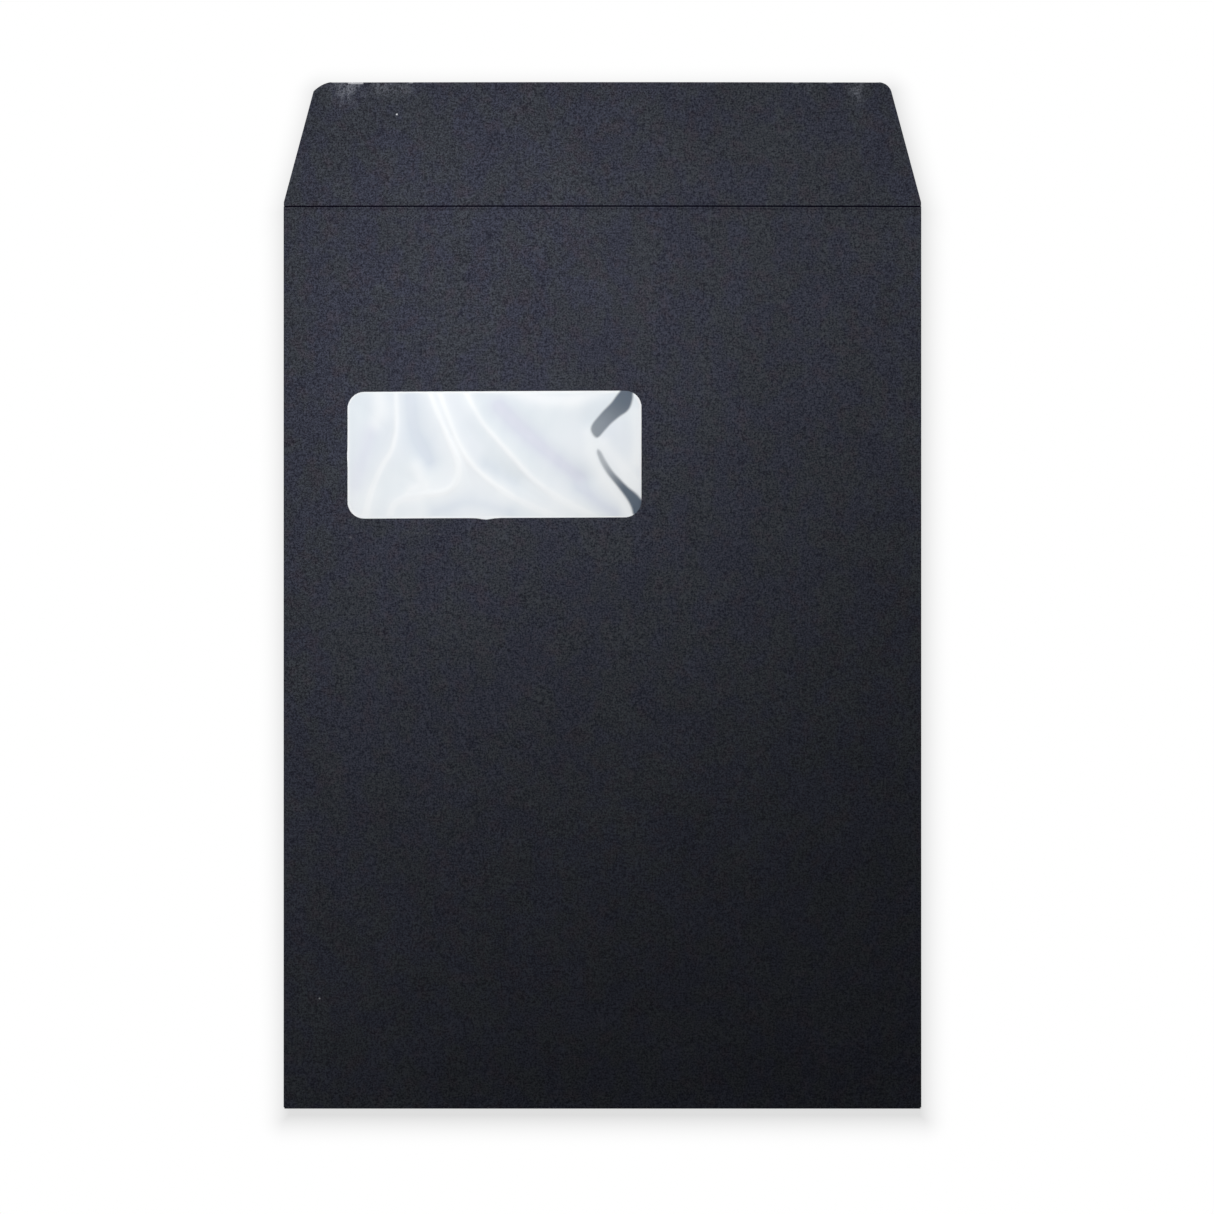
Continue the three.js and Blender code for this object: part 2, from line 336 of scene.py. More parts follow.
    def soft_relief(self, x: Array, v: Array) -> Array:
        """Soft creases and waves that handling left in the address side.

        Args:
            x: Places across.
            v: Heights up the envelope.

        Returns:
            The height that they add at each place.
        """
        half = self.width / 2
        left = tuple((across * MM - half, up * MM) for across, up in self.left_crease)
        right = tuple((half - across * MM, up * MM) for across, up in self.right_crease)
        from_left, from_right = away_from_curves(x, v, (left, right))
        relief = self.left_crease_height * bell(from_left, self.left_crease_width)
        relief += self.right_crease_height * bell(from_right, self.right_crease_width)
        from_edge = np.minimum(half - np.abs(x), v)
        calm = smoothstep(from_edge, 1 * MM, 40 * MM)
        waves = np.sin(x / (31 * MM) + 1.1) * np.sin(v / (44 * MM) + 0.4)
        waves += 0.6 * np.sin((x + 0.7 * v) / (23 * MM))
        from_dent = np.hypot(x - self.dent_middle[0], v - self.dent_middle[1])
        dent = bell(from_dent, self.dent_width)
        settled = smoothstep(from_edge, 0.5 * MM, 8 * MM)
        return relief * settled + calm * (self.wave_height * (waves - 1.6) - self.dent_depth * dent)

    def place(self, u: Array, v: Array) -> tuple[Array, Array, Array]:
        """Fold the blank.

        Args:
            u: Places across the blank.
            v: Places up the blank.

        Returns:
            X, height up the envelope and Z of the paper's middle.
        """
        x = u * self.front_half(v) / self.fold_x
        y = v.copy()
        on_flap = v > self.pocket_height + self.snap
        share = (u + self.fold_x) / (2 * self.fold_x)
        on_flap_x = self.flap_left(v) * (1 - share) + self.flap_right(v) * share
        x = np.where(on_flap, on_flap_x, x)
        z = self.arch_height(x, v)

        below = v < self.bottom_start
        turn = np.minimum((self.bottom_start - v) / self.bottom_radius, math.pi)
        run = np.maximum(self.bottom_start - self.bottom_length - v, 0.0)
        x = np.where(below, u * (1 - run * math.tan(self.bottom_taper) / self.fold_x), x)
        y = np.where(below, self.bottom_start - self.bottom_radius * np.sin(turn) + run, y)
        under_z = self.paper / 2 + self.bottom_radius * (1 + np.cos(turn))
        z = np.where(below, under_z, z)

        side = np.sign(u)
        along = np.abs(u) - self.fold_x
        in_fold = (along > 0) & ~below & ~on_flap
        tilt = self.edge_tilt(v)
        angle = tilt + np.clip(along / self.fold_length, 0.0, 1.0) * (math.pi - tilt)
        lift = self.back_lift(v)
        x = np.where(in_fold, side * (self.fold_x + self.fold_radius * np.sin(angle)), x)
        fold_z = lift + self.paper / 2 + self.fold_radius * (1 + np.cos(angle))
        z = np.where(in_fold, fold_z, z)

        inward = along - self.fold_length
        on_back = in_fold & (inward > 0)
        from_middle = self.fold_x - inward
        shoulder = np.clip(inward / self.throat_shoulder, 0.0, 1.0)
        share = (v - self.side_start) / (self.pocket_height - self.side_start)
        step_up = self.seam_overlap / 2 + self.joggle_clearance
        raised = np.where(side < 0, 1 - smoothstep(from_middle, step_up, step_up + self.joggle), 0.0)
        x = np.where(on_back, side * from_middle, x)
        y = np.where(on_back, v - self.throat_drop * shoulder * share, y)
        z = np.where(on_back, lift + raised * self.pitch + self.paper / 2, z)
        return x, y, z


@dataclass(frozen=True)
class WindowPlan:
    """Sizes and place of the window, in blank coordinates.

    A dent is its place across and over the window's lower edge, its reach, and its two shifts, in mm.
    """

    fold: FoldPlan
    width: float = 105.5 * MM
    height: float = 45.5 * MM
    from_left: float = 23.0 * MM
    from_crease: float = 66.4 * MM
    corner: float = 6.0 * MM
    film_margin: float = 5.4 * MM
    turn: float = 0.0046
    turned_band: float = 12.0 * MM
    edge_dents: tuple[tuple[float, float, float, float, float], ...] = (
        (-41.8, 0.0, 2.6, 0.0, -0.55),
        (-91.5, 22.5, 1.6, -0.25, 0.0),
    )

    @property
    def left(self) -> float:
        """Left edge of the window."""
        return self.from_left - self.fold.width / 2

    @property
    def right(self) -> float:
        """Right edge of the window."""
        return self.left + self.width

    @property
    def top(self) -> float:
        """Top edge of the window."""
        return self.fold.pocket_height - self.from_crease

    @property
    def bottom(self) -> float:
        """Bottom edge of the window."""
        return self.top - self.height

    @property
    def middle(self) -> Point:
        """Middle of the window."""
        return (self.left + self.right) / 2, (self.top + self.bottom) / 2

    def depth_inside(self, x: Array, v: Array) -> Array:
        """Distance in from the window's rounded edge, negative outside it.

        Args:
            x: Places across.
            v: Heights up the envelope.

        Returns:
            The distance at each place.
        """
        half_x, half_v = self.width / 2 - self.corner, self.height / 2 - self.corner
        dx = np.abs(x - self.middle[0]) - half_x
        dv = np.abs(v - self.middle[1]) - half_v
        outer = np.hypot(np.maximum(dx, 0), np.maximum(dv, 0))
        return self.corner - outer - np.minimum(np.maximum(dx, dv), 0)

    def unsettle(self, u: Array, v: Array) -> tuple[Array, Array]:
        """Turn the window a little in the blank, and dent its cut edges where they are worn.

        Args:
            u: Places across the blank.
            v: Places up the blank.

        Returns:
            The moved places.
        """
        near = smoothstep(self.depth_inside(u, v), -self.turned_band, -2 * MM)
        turned = v + near * self.turn * (u - self.middle[0])
        for at_u, above, half, shift_u, shift_v in self.edge_dents:
            away = np.hypot(u - at_u * MM, v - self.bottom - above * MM)
            u = u + shift_u * MM * bell(away, half * MM)
            turned = turned + shift_v * MM * bell(away, half * MM)
        return u, turned


def deselect_everything() -> None:
    """Leave no object selected."""
    bpy.ops.object.select_all(action="DESELECT")


def make_active(piece: Piece) -> None:
    """Leave the piece alone selected, and make it the active one.

    Args:
        piece: The piece.
    """
    deselect_everything()
    piece.select_set(True)
    bpy.context.view_layer.objects.active = piece


def add_to_scene(name: str, data: bpy.types.ID) -> Piece:
    """Make an object of a camera or a lamp, and put it in the scene.

    Args:
        name: Name of the new object.
        data: The camera or lamp.

    Returns:
        The new object.
    """
    added = bpy.data.objects.new(name, data)
    bpy.context.scene.collection.objects.link(added)
    return added


class EditMode:
    """Keeps one object in edit mode for the length of a with block."""

    def __init__(self, piece: Piece) -> None:
        """Remember the object."""
        self.piece = piece

    def __enter__(self) -> "EditMode":
        """Enter edit mode with everything selected.

        Returns:
            This edit mode, for its calls.
        """
        make_active(self.piece)
        bpy.ops.object.mode_set(mode="EDIT")
        bpy.ops.mesh.select_mode(type="FACE")
        bpy.ops.mesh.select_all(action="SELECT")
        return self

    def __exit__(self, *_: object) -> None:
        """Go back to object mode."""
        bpy.ops.object.mode_set(mode="OBJECT")

    def select_faces(self, wanted: Callable[[float, float], bool]) -> None:
        """Select only the faces whose middle passes a test.

        Args:
            wanted: Test on a face middle's X and Y.
        """
        for face in bmesh.from_edit_mesh(self.piece.data).faces:
            middle = face.calc_center_median()
            face.select_set(bool(wanted(middle.x, middle.y)))
        bmesh.update_edit_mesh(self.piece.data)

    def cut(self, through: Point, normal: Point) -> None:
        """Cut the selected faces along an upright plane."""
        bpy.ops.mesh.bisect(plane_co=(*through, 0.0), plane_no=(*normal, 0.0), threshold=1e-7)

    def delete_selected(self) -> None:
        """Delete the selected faces."""
        bpy.ops.mesh.delete(type="FACE")


def flat_grid(name: str, low: Point, high: Point, step: float) -> Piece:
    """Add a flat grid of square cells.

    Args:
        name: Name of the new object.
        low: Its lowest corner.
        high: Its highest corner.
        step: Size of a cell.

    Returns:
        The grid's object, with its place in its mesh.
    """
    deselect_everything()
    size = (high[0] - low[0], high[1] - low[1])
    cells = [max(1, round(length / step)) for length in size]
    bpy.ops.mesh.primitive_grid_add(x_subdivisions=cells[0], y_subdivisions=cells[1], size=1.0)
    piece = bpy.context.object
    piece.name = name
    piece.data.name = name
    middle = ((low[0] + high[0]) / 2, (low[1] + high[1]) / 2, 0.0)
    with EditMode(piece):
        bpy.ops.transform.resize(value=(size[0], size[1], 1.0), center_override=(0.0, 0.0, 0.0))
        bpy.ops.transform.translate(value=middle)
    return piece


def read_points(piece: Piece) -> Array:
    """Read the places of the mesh's points.

    Args:
        piece: The mesh's object.

    Returns:
        The points, one to a row.
    """
    flat = np.empty(len(piece.data.vertices) * 3)
    piece.data.vertices.foreach_get("co", flat)
    return flat.reshape(-1, 3)


def write_points(piece: Piece, points: Array) -> None:
    """Move the mesh's points to new places."""
    piece.data.vertices.foreach_set("co", points.ravel())
    piece.data.update()


def write_tone(piece: Piece, name: str, values: Array) -> None:
    """Store one number for each point of the mesh under a name."""
    attribute = piece.data.attributes.new(name, "FLOAT", "POINT")
    attribute.data.foreach_set("value", values.astype(np.float32))


def apply_modifier(piece: Piece, kind: str, **settings: object) -> None:
    """Add a modifier, set it and apply it.

    Args:
        piece: The object to change.
        kind: The modifier's type.
        settings: Its properties.
    """
    make_active(piece)
    modifier = piece.modifiers.new(kind.title(), kind)
    for key, value in settings.items():
        setattr(modifier, key, value)
    bpy.ops.object.modifier_apply(modifier=modifier.name)


def smooth_by_angle(piece: Piece, angle: float) -> None:
    """Shade the piece smooth, with sharp edges past an angle."""
    make_active(piece)
    bpy.ops.object.shade_smooth_by_angle(angle=angle)


class Number:
    """A shader number that can be worked with as in plain arithmetic."""

    def __init__(self, finish: "Nodes", socket: Socket) -> None:
        """Wrap a socket of a node tree."""
        self.finish = finish
        self.socket = socket

    def math(self, operation: str, *others: "Number | float") -> "Number":
        """Add a Math node on this number and others."""
        return self.finish.math(operation, self, *others)

    def __add__(self, other: "Number | float") -> "Number":
        """Sum."""
        return self.math("ADD", other)

    __radd__ = __add__

    def __sub__(self, other: "Number | float") -> "Number":
        """Difference."""
        return self.math("SUBTRACT", other)

    def __rsub__(self, other: float) -> "Number":
        """Difference with a plain number first."""
        return self.finish.math("SUBTRACT", other, self)

    def __mul__(self, other: "Number | float") -> "Number":
        """Product."""
        return self.math("MULTIPLY", other)

    __rmul__ = __mul__

    def __truediv__(self, other: "Number | float") -> "Number":
        """Quotient."""
        return self.math("DIVIDE", other)

    def __pow__(self, other: float) -> "Number":
        """Power."""
        return self.math("POWER", other)

    def __abs__(self) -> "Number":
        """Size without its sign."""
        return self.math("ABSOLUTE")

    def least(self, other: "Number | float") -> "Number":
        """The smaller of the two."""
        return self.math("MINIMUM", other)

    def most(self, other: "Number | float") -> "Number":
        """The larger of the two."""
        return self.math("MAXIMUM", other)

    def between(self, low: float, high: float, smooth: bool = True) -> "Number":
        """Grade the number from 0 at low to 1 at high.

        Args:
            low: Where the result is 0.
            high: Where the result is 1.
            smooth: Ease in and out, or run straight.

        Returns:
            The graded number.
        """
        kind = "SMOOTHSTEP" if smooth else "LINEAR"
        node = self.finish.node(
            "ShaderNodeMapRange",
            {"interpolation_type": kind, "clamp": True},
            {"Value": self, "From Min": low, "From Max": high},
        )
        return Number(self.finish, node.outputs["Result"])

    def fading(self, low: float, high: float) -> "Number":
        """Grade the number from 1 at low to 0 at high."""
        return 1 - self.between(low, high)


Link = Number | Socket | float | tuple


class Nodes:
    """A node tree and the one call that every node of it is made with."""

    def __init__(self, owner: bpy.types.Material | bpy.types.World) -> None:
        """Empty the owner's node tree.

        Args:
            owner: The material or world that the tree belongs to.
        """
        owner.use_nodes = True
        self.tree = owner.node_tree
        self.tree.nodes.clear()

    def node(self, kind: str, settings: Mapping[str, object],
             inputs: Mapping[str | int, Link]) -> bpy.types.Node:
        """Add a node.

        Args:
            kind: The node's type.
            settings: Its properties, set before its inputs.
            inputs: Values or links of its input sockets, by name or number.

        Returns:
            The new node.
        """
        node = self.tree.nodes.new(kind)
        for key, value in settings.items():
            setattr(node, key, value)
        for key, value in inputs.items():
            if isinstance(value, (Number, Socket)):
                source = value.socket if isinstance(value, Number) else value
                self.tree.links.new(source, node.inputs[key])
            else:
                node.inputs[key].default_value = value
        return node

    def math(self, operation: str, *values: "Number | float") -> Number:
        """Add a Math node on numbers and return its result."""
        node = self.node("ShaderNodeMath", {"operation": operation}, dict(enumerate(values)))
        return Number(self, node.outputs[0])

    def seen_plainly(self) -> Number:
        """Where a ray comes from the camera, through something clear or off something glossy.

        Returns:
            1 on such rays and 0 on others.
        """
        rays = self.node("ShaderNodeLightPath", {}, {})
        straight, through, mirrored = (
            Number(self, rays.outputs[f"Is {kind} Ray"]) for kind in ("Camera", "Transmission", "Glossy")
        )
        return straight.most(through).most(mirrored)

    def either(self, factor: Number, first: bpy.types.Node, second: bpy.types.Node, output: str) -> None:
        """Send the first of two shaders to the output at factor 0, and the second at 1.

        Args:
            factor: Share of the second.
            first: The first shader.
            second: The second shader.
            output: The output node's type.
        """
        inputs = {0: factor, 1: first.outputs[0], 2: second.outputs[0]}
        mixed = self.node("ShaderNodeMixShader", {}, inputs)
        self.node(output, {}, {"Surface": mixed.outputs[0]})


class Finish(Nodes):
    """A material and the few calls that its node tree is built with."""

    def __init__(self, name: str) -> None:
        """Start a material of that name with the object's own coordinates.

        Args:
            name: Name of the material.
        """
        self.material = bpy.data.materials.new(name)
        super().__init__(self.material)
        position = self.node("ShaderNodeTexCoord", {}, {})
        self.position = position.outputs["Object"]
        split = self.node("ShaderNodeSeparateXYZ", {}, {"Vector": self.position})
        self.x, self.y = (Number(self, split.outputs[axis]) for axis in "XY")

    def noise(self, scale: float, detail: float = 2.0, roughness: float = 0.5,
              stretch: Triple = (1.0, 1.0, 1.0)) -> Number:
        """Add noise on the object's coordinates.

        Args:
            scale: Features per metre.
            detail: Octaves.
            roughness: Weight of the finer octaves.
            stretch: Scale along each axis.

        Returns:
            The noise, about 0.5 on average.
        """
        mapping = self.node("ShaderNodeMapping", {}, {"Vector": self.position, "Scale": stretch})
        inputs = {"Vector": mapping.outputs[0], "Scale": scale, "Detail": detail, "Roughness": roughness}
        node = self.node("ShaderNodeTexNoise", {}, inputs)
        return Number(self, node.outputs["Fac"])

    def attribute(self, name: str) -> Number:
        """Read a number stored on the mesh."""
        node = self.node("ShaderNodeAttribute", {"attribute_name": name}, {})
        return Number(self, node.outputs["Fac"])

    def mix(self, factor: "Number | float", first: Link, second: Link,
            blend: str = "MIX") -> Socket:
        """Mix two colours.

        Args:
            factor: Share of the second.
            first: A colour or a link to one.
            second: A colour or a link to one.
            blend: How they mix.

        Returns:
            The mixed colour's socket.
        """
        first, second = (
            (*value, 1.0) if isinstance(value, tuple) else value for value in (first, second)
        )
        settings = {"data_type": "RGBA", "blend_type": blend}
        return self.node("ShaderNodeMix", settings, {0: factor, 6: first, 7: second}).outputs[2]

    def grey(self, level: Number) -> Socket:
        """A grey of a varying level."""
        return self.node("ShaderNodeCombineColor", {}, {0: level, 1: level, 2: level}).outputs[0]

    def bump(self, height: Number, distance: float, strength: float = 1.0) -> Socket:
        """Turn a height into a bumped normal."""
        inputs = {"Height": height, "Distance": distance, "Strength": strength}
        return self.node("ShaderNodeBump", {}, inputs).outputs["Normal"]

    def shader(self, inputs: Mapping[str, Link]) -> None:
        """Add the Principled shader and send it to the output."""
        shader = self.node("ShaderNodeBsdfPrincipled", {}, inputs)
        self.node("ShaderNodeOutputMaterial", {}, {"Surface": shader.outputs["BSDF"]})

    def away_from_line(self, start: Point, end: Point) -> Number:
        """Distance from a straight stroke.

        Args:
            start: One end of the stroke, in the frame's X and Y.
            end: Its other end.

        Returns:
            The distance to the stroke's nearest point.
        """
        run_x, run_y = end[0] - start[0], end[1] - start[1]
        squared = run_x * run_x + run_y * run_y
        from_x, from_y = self.x - start[0], self.y - start[1]
        share = ((from_x * run_x + from_y * run_y) / squared).most(0.0).least(1.0)
        return ((from_x - share * run_x) ** 2.0 + (from_y - share * run_y) ** 2.0) ** 0.5

    def away_from_point(self, x: float, y: float) -> Number:
        """Distance from a point of the frame's X and Y."""
        return ((self.x - x) ** 2.0 + (self.y - y) ** 2.0) ** 0.5


@dataclass(frozen=True)
class BlackPaper:
    """Matt black envelope paper: fibrous grain, a scored crease with painted shade in it, worn edges and
    a few specks.

    Marks are in millimetres on the blank. A speck is its place, radius and strength. A stroke is its
    ends, half width and strength. A scuff is its middle and half along the top edge, its depth below
    it and its strength. A painted shadow line is where it is darkest and where it ends, from its middle.
    """

    fold: FoldPlan
    window: WindowPlan
    colour: Triple = (0.0322, 0.0366, 0.0456)
    green_colour: Triple = (0.0342, 0.0398, 0.0390)
    warm_colour: Triple = (0.0395, 0.0356, 0.0395)
    fibre_dark: float = 0.44
    fibre_gain: float = 1.12
    mottle_dark: float = 0.85
    mottle_gain: float = 0.3
    green_share: float = 0.75
    warm_share: float = 0.5
    painted_groove_shadow: Triple = (0.0005, 0.0005, 0.0008)
    worn_colour: Triple = (0.15, 0.16, 0.18)
    mark_colour: Triple = (0.70, 0.71, 0.73)
    roughness: float = 0.6
    specular: float = 0.11
    sheen_tint: Quad = (0.31, 0.12, 1.0, 1.0)
    bump_height: float = 0.14 * MM
    # Painted shade in the scored crease: the dark line there and the faint one beside it.
    groove_line: Point = (0.16 * MM, 0.38 * MM)
    beside_line: Point = (0.1 * MM, 0.4 * MM)
    beside_drop: float = 1.0 * MM
    beside_strength: float = 0.3
    specks: tuple[Quad, ...] = (
        (-73.8, 357.0, 0.42, 0.9),
        (-101.6, 39.6, 0.42, 0.6),
        (-69.6, 207.0, 0.40, 0.06),
        (-66.2, 206.7, 0.45, 0.07),
        (-62.4, 206.6, 0.40, 0.06),
        (-58.6, 206.3, 0.45, 0.08),
        (-90.4, 205.2, 0.70, 0.07),
    )
    strokes: tuple[tuple[Point, Point, float, float], ...] = (
        ((-24.1, 173.6), (-14.3, 159.2), 0.5, 0.012),
        ((-70.6, 206.9), (-57.6, 206.3), 0.4, 0.015),
        ((-91.0, 368.3), (-86.2, 368.2), 0.5, 0.6),
        ((-69.2, 368.4), (-68.2, 368.4), 0.4, 0.35),
        ((68.6, 368.4), (70.4, 368.4), 0.35, 0.3),
        ((80.6, 368.4), (82.4, 368.4), 0.35, 0.3),
    )
    scuffs: tuple[Quad, ...] = (
        (-91.5, 9.0, 11.0, 1.3),
        (-77.0, 15.0, 6.5, 0.8),
        (90.8, 6.0, 10.0, 1.1),
        (73.0, 6.0, 5.0, 0.35),
    )

    def material(self) -> bpy.types.Material:
        """Build the paper's material.

        Returns:
            The new material.
        """
        finish = Finish("black_paper")
        grain = self.grain(finish)
        fibre = finish.noise(2600.0, 2.0, 0.6)
        green = finish.noise(105.0, 2.0, 0.6, (1.0, 0.8, 1.0)).between(0.4, 0.6)
        warm = finish.noise(170.0, 2.0, 0.6).between(0.5, 0.7)
        mottle = finish.noise(45.0, 3.0, 0.55)
        colour = finish.mix(green * self.green_share, self.colour, self.green_colour)
        colour = finish.mix(warm * self.warm_share, colour, self.warm_colour)
        level = self.fibre_dark + self.fibre_gain * grain
        level = level * (self.mottle_dark + self.mottle_gain * mottle)
        colour = finish.mix(1.0, colour, finish.grey(level), "MULTIPLY")
        colour = finish.mix(self.worn(finish, grain), colour, self.worn_colour)
        colour = finish.mix(self.marks(finish), colour, self.mark_colour)
        # Painted shade: a near-black line along the scored crease, and a faint one beside it.
        score = self.painted_score_shadow(finish)
        colour = finish.mix(score, colour, self.painted_groove_shadow)
        height = grain * 0.6 + fibre * 0.4 + self.relief(finish)
        finish.shader({
            "Base Color": colour,
            "Roughness": (self.roughness + (0.5 - grain) * 0.25).most(score),
            "Specular IOR Level": self.specular,
            "Specular Tint": self.sheen_tint,
            "Normal": finish.bump(height, self.bump_height),
        })
        return finish.material

    def grain(self, finish: Finish) -> Number:
        """Fine speckle of the paper's fibres, from 0 to 1.

        Args:
            finish: The paper's finish.

        Returns:
            The speckle.
        """
        soft = finish.noise(1650.0, 2.0, 0.6)
        across = finish.noise(1250.0, 1.0, 0.5, (0.45, 1.5, 1.0))
        up = finish.noise(1250.0, 1.0, 0.5, (1.5, 0.45, 1.0))
        return (soft * 0.64 + across * 0.18 + up * 0.18).between(0.4, 0.6, smooth=False)

    def relief(self, finish: Finish) -> Number:
        """The step in the paper over the edge of the film patch behind it.

        Args:
            finish: The paper's finish.

        Returns:
            The height of the step, as a share of the bump's.
        """
        window = self.window
        half_x, half_y = window.width / 2 + window.film_margin, window.height / 2 + window.film_margin
        middle_y = self.fold.to_frame(window.middle[1])
        over_x = abs(finish.x - window.middle[0]) - half_x
        over_y = abs(finish.y - middle_y) - half_y
        below = (finish.y - middle_y).fading(-half_y, -half_y + 4 * MM)
        return over_x.most(over_y).fading(-0.7 * MM, 0.7 * MM) * (0.1 + 0.5 * below)

    def painted_score_shadow(self, finish: Finish) -> Number:
        """Painted shade: a dark line in the scored crease, and a faint one beside it.

        Args:
            finish: The paper's finish.

        Returns:
            How dark each place is, from 0 to 1.
        """
        crease = self.fold.to_frame(self.fold.pocket_height)
        line = abs(finish.y - crease).fading(*self.groove_line)
        beside = abs(finish.y - (crease - self.beside_drop)).fading(*self.beside_line)
        return line.most(beside * self.beside_strength)

    def worn(self, finish: Finish, grain: Number) -> Number:
        """Rubbed, whitish places along the flap's top edge, most of all near both corners.

        Args:
            finish: The paper's finish.
            grain: Speckle of its fibres.

        Returns:
            How worn each place is, from 0 to 1.
        """
        from_top = self.fold.to_frame(self.fold.opened_length) - finish.y
        patchy = finish.noise(330.0, 3.0, 0.7, (1.0, 0.6, 1.0)).between(0.36, 0.62)
        worn = from_top.fading(0.0, 0.6 * MM) * patchy * 0.4
        for middle, half, depth, strength in self.scuffs:
            side = abs(finish.x - middle * MM).fading(0.0, half * MM)
            worn = worn.most(side * from_top.fading(0.0, depth * MM) * patchy * strength)
        return (worn * (0.2 + grain)).least(1.0)

    def marks(self, finish: Finish) -> Number:
        """Two pale specks, a scratch, a nick in the top edge and flecks of glue under the window.

        Args:
            finish: The paper's finish.

        Returns:
            How pale each place is, from 0 to 1.
        """
        place = self.fold.to_frame
        marks = 0.0 * finish.x
        for x, v, radius, strength in self.specks:
            away = finish.away_from_point(x * MM, place(v * MM))
            marks = marks.most(away.fading(radius * 0.4 * MM, radius * MM) * strength)
        for start, end, half, strength in self.strokes:
            away = finish.away_from_line(*((x * MM, place(v * MM)) for x, v in (start, end)))
            marks = marks.most(away.fading(half * 0.3 * MM, half * MM) * strength)
        return marks


@dataclass(frozen=True)
class WindowFilm:
    """Clear glossy film with the light it mirrors painted into its colour as a pale sheen; its folds'
    painted highlights and darker flanks are tones stored on the mesh.
    """

    # Colours of the painted reflection: dull flanks, violet grooves, highlighted crests, and the dark
    # inside where it mirrors nothing.
    painted_flank_reflection: Triple = (0.61, 0.685, 0.745)
    painted_violet_reflection: Triple = (0.655, 0.675, 0.775)
    painted_highlight: Triple = (0.86, 0.885, 0.905)
    clear: Triple = (0.053, 0.083, 0.126)
    roughness: float = 0.3
    specular: float = 0.4
    alpha: float = 0.97
    clear_alpha: float = 0.85

    def material(self) -> bpy.types.Material:
        """Build the film's material.

        Returns:
            The new material.
        """
        finish = Finish("window_film")
        # Painted reflection: the film's pale colour stands for the light it mirrors, with painted
        # highlights on the fold crests, darker dull flanks and a violet tint in the grooves.
        cloudy = finish.noise(75.0, 2.0, 0.5, (1.0, 0.6, 1.0)).between(0.3, 0.7)
        tone = (finish.attribute("painted_highlight") + (cloudy - 0.5) * 0.22).least(1.0).most(0.0)
        patchy = finish.noise(38.0, 1.0, 0.5, (1.0, 0.7, 1.0)).between(0.42, 0.6)
        violet = finish.attribute("violet").most(patchy * 0.3)
        dull = finish.mix(violet, self.painted_flank_reflection, self.painted_violet_reflection)
        colour = finish.mix(tone, dull, self.painted_highlight)
        # Painted dark where the film mirrors nothing, standing for the dark inside; the film is made
        # clearer there too.
        clear_and_painted_dark = finish.attribute("clear")
        colour = finish.mix(clear_and_painted_dark, colour, self.clear)
        finish.shader({
            "Base Color": colour,
            "Roughness": self.roughness,
            "Specular IOR Level": self.specular,
            "Alpha": self.alpha - (self.alpha - self.clear_alpha) * clear_and_painted_dark,
        })
        return finish.material


@dataclass(frozen=True)
class PlainCoat:
    """A plain pale finish with a little mottling, for the seal's strip and its release paper."""

    name: str
    colour: Triple
    shade: Triple
    roughness: float
    grain_scale: float

    def material(self) -> bpy.types.Material:
        """Build the material.

        Returns:
            The new material.
        """
        finish = Finish(self.name)
        mottle = finish.noise(self.grain_scale, 3.0, 0.6)
        finish.shader({
            "Base Color": finish.mix(mottle.between(0.3, 0.7), self.shade, self.colour),
            "Roughness": self.roughness + (mottle - 0.5) * 0.1,
            "Normal": finish.bump(mottle, 0.02 * MM, 0.5),
        })
        return finish.material


def set_material(piece: Piece, material: bpy.types.Material) -> None:
    """Give the whole piece one material."""
    piece.data.materials.clear()
    piece.data.materials.append(material)


